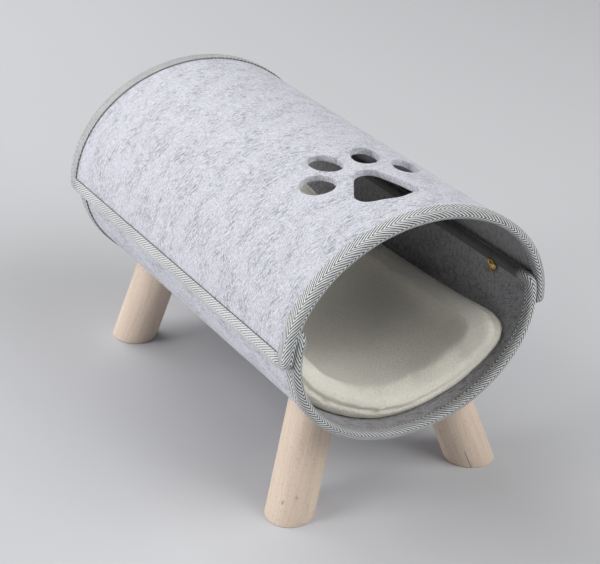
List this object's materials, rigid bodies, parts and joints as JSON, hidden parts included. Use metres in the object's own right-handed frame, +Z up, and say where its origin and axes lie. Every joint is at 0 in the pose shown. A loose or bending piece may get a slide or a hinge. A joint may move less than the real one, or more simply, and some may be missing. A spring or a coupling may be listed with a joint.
{
  "type": "pet tunnel bed",
  "caption": "Felt tunnel bed for a cat: bound felt roof with a cut-out paw, felt cradle, fleece pad and splayed wooden legs.",
  "frame": {"origin": "on the floor, under the middle of the tunnel", "axes": "+Z up; the tunnel runs along Y and its front opening, the end with the paw, faces -Y; +X is to the right seen from the front"},
  "size_m": [0.3102, 0.485, 0.3273],
  "materials": {
    "felt": "thick pressed felt, light heather grey",
    "tape": "herringbone twill tape, grey",
    "fleece": "short plush fleece, off-white",
    "wood": "pale turned wood, unvarnished, with small knots",
    "brass": "polished"
  },
  "bodies": {
    "root": {"roof_panel": "felt", "cradle_panel": "felt", "roof_binding": "tape", "cradle_binding": "tape", "cushion": "fleece", "leg_front_left": "wood", "leg_front_right": "wood", "leg_back_left": "wood", "leg_back_right": "wood", "snap_front_left": "brass", "snap_front_right": "brass", "snap_back_left": "brass", "snap_back_right": "brass"}
  },
  "joints": []
}
